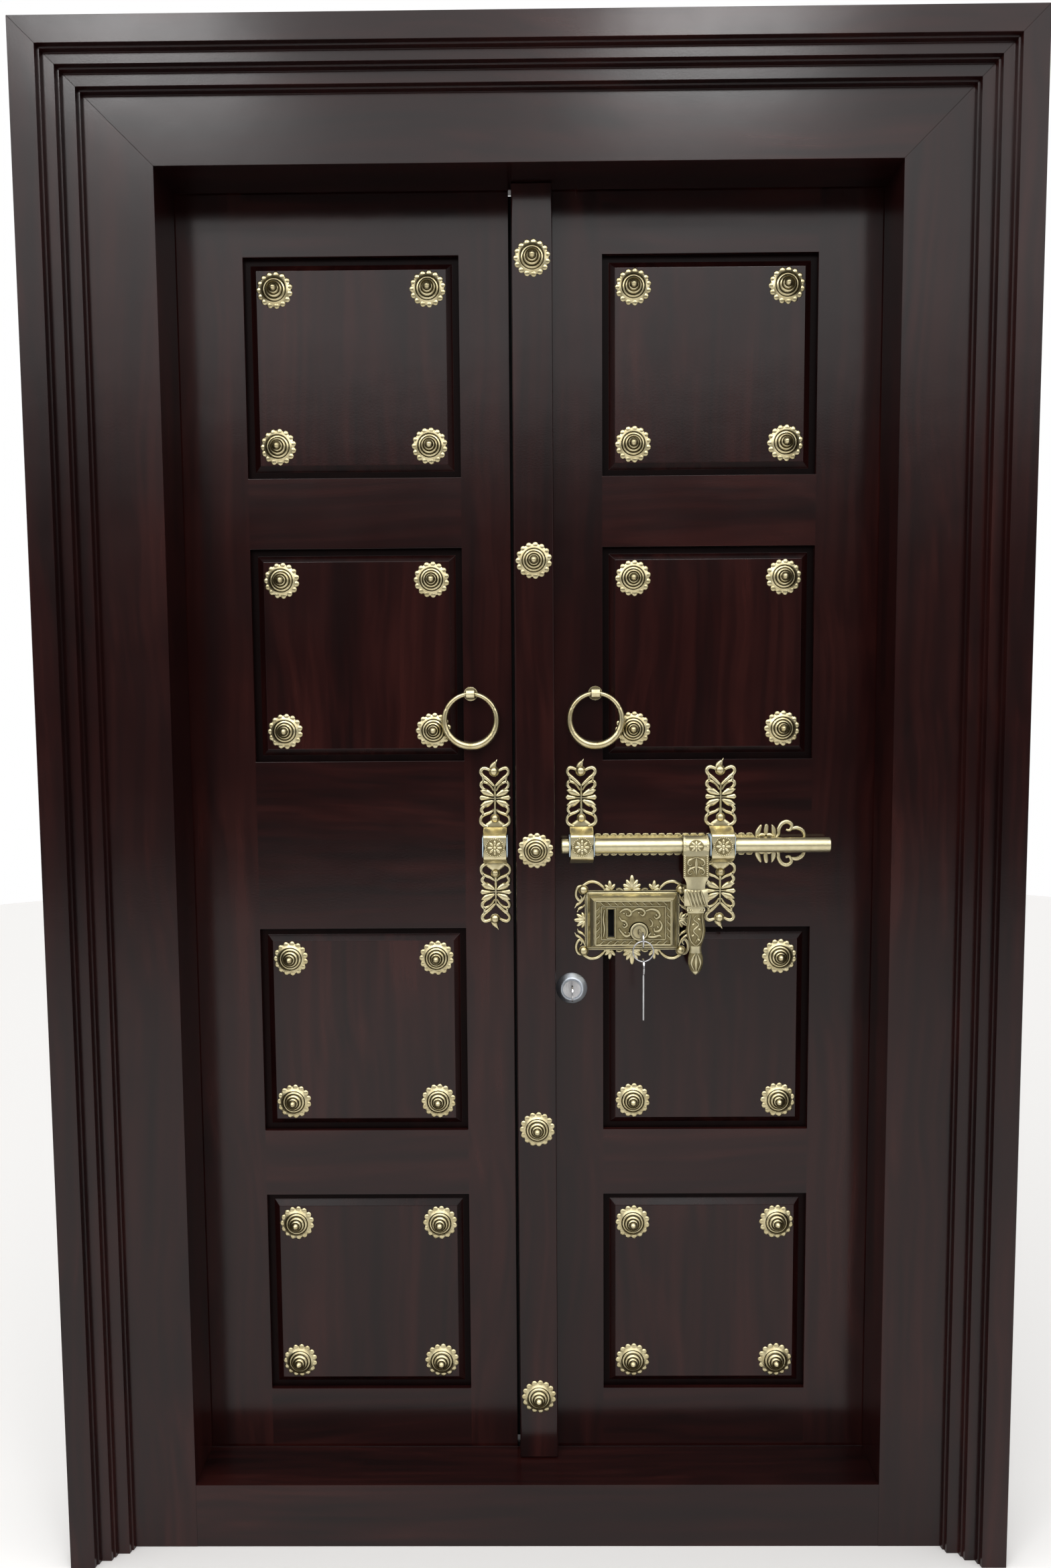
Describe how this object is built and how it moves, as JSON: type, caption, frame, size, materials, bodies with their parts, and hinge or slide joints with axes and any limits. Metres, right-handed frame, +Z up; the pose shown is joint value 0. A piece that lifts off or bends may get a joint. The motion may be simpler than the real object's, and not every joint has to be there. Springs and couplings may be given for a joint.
{
  "type": "steel entrance double door",
  "caption": "Pair of pressed panel steel door leaves in a stepped folded frame, with petal studs, ring handles, an astragal and a sliding rod lock with openwork clamps.",
  "frame": {"origin": "middle of the doorway on the floor, in the plane of the closed leaves' outer faces", "axes": "+X to the right seen from outside, +Y into the room, +Z up"},
  "size_m": [1.35, 0.1986, 2.14],
  "materials": {
    "frame_paint": "gloss",
    "leaf_paint": "gloss",
    "plain_steel": "satin",
    "core_board": "matte",
    "satin_brass": "satin",
    "bright_steel": "satin",
    "nylon": "matte",
    "seal_rubber": "matte"
  },
  "bodies": {
    "frame": {"left_jamb": "frame_paint", "right_jamb": "frame_paint", "head": "frame_paint", "sill": "frame_paint", "frame_seals": "seal_rubber", "left_frame_hinges": "plain_steel", "right_frame_hinges": "plain_steel"},
    "left_leaf": {"left_front_skin": "leaf_paint", "left_back_skin": "leaf_paint", "left_hinge_stile": "leaf_paint", "left_meeting_stile": "leaf_paint", "left_rails": "plain_steel", "left_core": "core_board", "left_panel_trays": "leaf_paint", "left_leaf_hinges": "plain_steel", "left_stud_petals": "satin_brass", "left_stud_domes": "satin_brass", "left_ring_rose": "satin_brass", "keeper_clamp": "satin_brass", "keeper_bush": "nylon", "keeper_screws": "satin_brass"},
    "right_leaf": {"right_front_skin": "leaf_paint", "right_back_skin": "leaf_paint", "right_hinge_stile": "leaf_paint", "right_meeting_stile": "leaf_paint", "right_rails": "plain_steel", "right_core": "core_board", "right_panel_trays": "leaf_paint", "right_leaf_hinges": "plain_steel", "right_stud_petals": "satin_brass", "right_stud_domes": "satin_brass", "astragal": "leaf_paint", "centre_stud_petals": "satin_brass", "centre_stud_domes": "satin_brass", "right_ring_rose": "satin_brass", "inner_clamp": "satin_brass", "outer_clamp": "satin_brass", "clamp_bushes": "nylon", "right_screws": "satin_brass", "rod_back_plate": "satin_brass", "lock_case": "satin_brass", "lock_border": "satin_brass", "cylinder_rose": "bright_steel", "mortise_case": "plain_steel"},
    "left_ring": {"left_ring": "satin_brass"},
    "right_ring": {"right_ring": "satin_brass"},
    "top_bolt": {"top_flush_bolt": "plain_steel"},
    "bottom_bolt": {"bottom_flush_bolt": "plain_steel"},
    "rod": {"bolt_rod": "satin_brass"},
    "handle": {"handle": "satin_brass"},
    "lock_key": {"lock_plug": "satin_brass", "lock_key": "bright_steel"},
    "key_ring": {"key_ring": "bright_steel", "spare_key": "bright_steel"},
    "cylinder": {"cylinder_plug": "bright_steel", "cylinder_key": "bright_steel"},
    "deadbolt": {"deadbolt": "plain_steel"}
  },
  "joints": [
    {"name": "left_leaf_swing", "type": "hinge", "parent": "frame", "child": "left_leaf", "pos_m": [-0.5153, 0.058, 1.07], "axis": [0, 0, 1], "range_deg": [0, 95]},
    {"name": "right_leaf_swing", "type": "hinge", "parent": "frame", "child": "right_leaf", "pos_m": [0.5153, 0.058, 1.07], "axis": [0, 0, -1], "range_deg": [0, 95]},
    {"name": "rod_slide", "type": "slide", "parent": "right_leaf", "child": "rod", "axis": [-1, 0, 0], "range_m": [0, 0.126]},
    {"name": "handle_lift", "type": "hinge", "parent": "rod", "child": "handle", "pos_m": [0.2386, -0.0173, 1.0345], "axis": [-1, 0, 0], "range_deg": [0, 130]},
    {"name": "left_ring_lift", "type": "hinge", "parent": "left_leaf", "child": "left_ring", "pos_m": [-0.0893, -0.012, 1.2583], "axis": [-1, 0, 0], "range_deg": [0, 90]},
    {"name": "right_ring_lift", "type": "hinge", "parent": "right_leaf", "child": "right_ring", "pos_m": [0.0933, -0.012, 1.2583], "axis": [-1, 0, 0], "range_deg": [0, 90]},
    {"name": "lock_key_turn", "type": "hinge", "parent": "right_leaf", "child": "lock_key", "pos_m": [0.1559, -0.02, 0.9082], "axis": [0, 1, 0], "range_deg": [0, 30]},
    {"name": "key_ring_hang", "type": "hinge", "parent": "lock_key", "child": "key_ring", "pos_m": [0.1559, -0.0913, 0.9082], "axis": [0, 1, 0], "range_deg": [-30, 0]},
    {"name": "cylinder_turn", "type": "hinge", "parent": "right_leaf", "child": "cylinder", "pos_m": [0.0572, -0.005, 0.818], "axis": [0, 1, 0], "range_deg": [0, 180]},
    {"name": "deadbolt_throw", "type": "slide", "parent": "right_leaf", "child": "deadbolt", "axis": [-1, 0, 0], "range_m": [0, 0.02]},
    {"name": "top_bolt_throw", "type": "slide", "parent": "left_leaf", "child": "top_bolt", "axis": [0, 0, 1], "range_m": [0, 0.02]},
    {"name": "bottom_bolt_throw", "type": "slide", "parent": "left_leaf", "child": "bottom_bolt", "axis": [0, 0, -1], "range_m": [0, 0.02]}
  ],
  "couplings": [
    {"joint": "handle_lift", "follows": "rod_slide", "rad_per_m": 18},
    {"joint": "key_ring_hang", "follows": "lock_key_turn", "ratio": -1},
    {"joint": "deadbolt_throw", "follows": "cylinder_turn", "m_per_rad": 0.006366}
  ]
}
